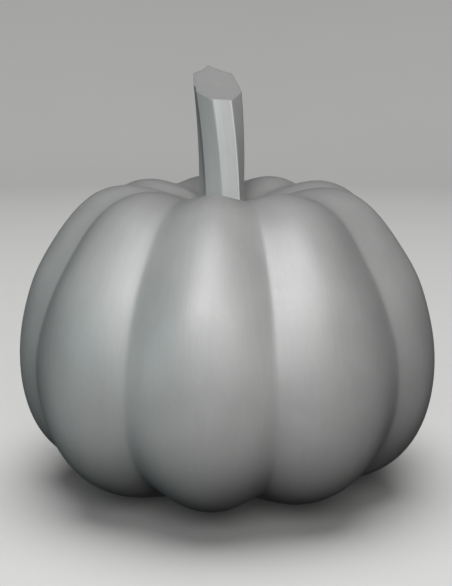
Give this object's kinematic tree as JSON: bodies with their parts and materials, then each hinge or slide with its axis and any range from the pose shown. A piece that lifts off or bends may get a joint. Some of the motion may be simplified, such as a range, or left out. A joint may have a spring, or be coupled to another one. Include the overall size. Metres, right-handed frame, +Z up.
{
  "type": "pumpkin",
  "caption": "Ribbed round pumpkin, wider than tall, on a flat spot, with a leaning woody stem cut at a slant.",
  "frame": {"origin": "middle of the flat spot under the fruit, on the surface it rests on, where the fruit's own axis meets it", "axes": "+Z up along the fruit's axis towards the stem; -Y is the front, with one rib seven degrees to its left"},
  "size_m": [0.2477, 0.2483, 0.252],
  "materials": {
    "rind": "satin",
    "dried_stem": "matte"
  },
  "bodies": {
    "root": {"fruit": "rind", "stem": "dried_stem"}
  },
  "joints": []
}
